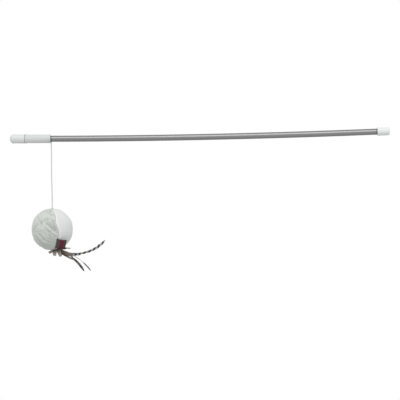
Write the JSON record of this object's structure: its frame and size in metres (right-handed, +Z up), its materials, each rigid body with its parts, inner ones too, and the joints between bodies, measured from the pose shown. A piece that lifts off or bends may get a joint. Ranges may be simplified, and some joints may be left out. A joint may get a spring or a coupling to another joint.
{
  "type": "cat teaser wand",
  "caption": "Slim bowed play wand with push-on end fittings; a cord at its tip carries a stuffed fabric ball with a tab and a feather tail for a cat to chase.",
  "frame": {"origin": "On the butt cap's axis, halfway along its plain cylindrical wall, where a holder grips it.", "axes": "X runs along the wand from tip to butt, Z is up with the wand held level and the cord hanging, and the picture was taken from the -Y side."},
  "size_m": [0.5, 0.054, 0.1881],
  "materials": {
    "silver_plastic": "satin silver-grey",
    "white_plastic": "moulded, semi-gloss",
    "white_cord": "fine twisted cord",
    "crinkle_fabric": "crumpled, faint sheen",
    "plain_fabric": "smooth, matte",
    "fibre_filling": "loose fibre",
    "woven_label": "woven tape",
    "brown_strip": "soft, suede-like",
    "barred_feather": "feather barbs",
    "dark_feather": "feather barbs",
    "grey_feather": "feather barbs"
  },
  "bodies": {
    "wand": {"rod_tube": "silver_plastic", "tip_cap": "white_plastic", "tip_sleeve": "white_plastic", "butt_cap": "white_plastic", "cord_stop_knot": "white_cord"},
    "cord_bend": {"cord_neck": "white_cord"},
    "cord": {"cord_free": "white_cord"},
    "ball": {"crinkle_gore_front": "crinkle_fabric", "plain_gore_right": "plain_fabric", "crinkle_gore_back": "crinkle_fabric", "plain_gore_left": "plain_fabric", "ball_knot": "white_cord", "stuffing": "fibre_filling", "gather_ring": "crinkle_fabric", "tail_tie": "brown_strip", "tuft_strip_left": "brown_strip", "tuft_strip_front_left": "brown_strip", "tuft_strip_front": "brown_strip", "tuft_spike_right": "brown_strip", "tuft_spike_back_right": "brown_strip", "tuft_strip_back": "brown_strip", "tuft_strip_back_left": "brown_strip"},
    "tail": {"feather_long_barred": "barred_feather", "feather_short_barred": "barred_feather", "feather_dark": "dark_feather", "feather_slender": "grey_feather", "bundle_strip_top_front": "brown_strip", "bundle_strip_top_back": "brown_strip", "bundle_strip_low_front": "brown_strip", "bundle_strip_low_back": "brown_strip", "bundle_strip_side_front": "brown_strip", "bundle_strip_side_back": "brown_strip"},
    "label": {"label_tab": "woven_label"}
  },
  "joints": [
    {"name": "cord_swing_front", "type": "hinge", "parent": "wand", "child": "cord_bend", "pos_m": [-0.4371, 0, -0.01353], "axis": [1, 0, 0], "range_deg": [-75, 75]},
    {"name": "cord_swing_side", "type": "hinge", "parent": "cord_bend", "child": "cord", "pos_m": [-0.4371, 0, -0.01653], "axis": [0, -1, 0], "range_deg": [-75, 50]},
    {"name": "ball_twist", "type": "hinge", "parent": "cord", "child": "ball", "pos_m": [-0.43615, 0, -0.09883], "axis": [0, 0, 1], "continuous": true},
    {"name": "tail_bend", "type": "hinge", "parent": "ball", "child": "tail", "pos_m": [-0.42879, -0.00425, -0.15349], "axis": [0, 1, 0], "range_deg": [-6, 25], "stiffness_Nm_per_rad": 0.001},
    {"name": "label_lift", "type": "hinge", "parent": "ball", "child": "label", "pos_m": [-0.42546, -0.01199, -0.15233], "axis": [0.9824, 0.1366, -0.1273], "range_deg": [0, 45], "stiffness_Nm_per_rad": 0.0001}
  ]
}
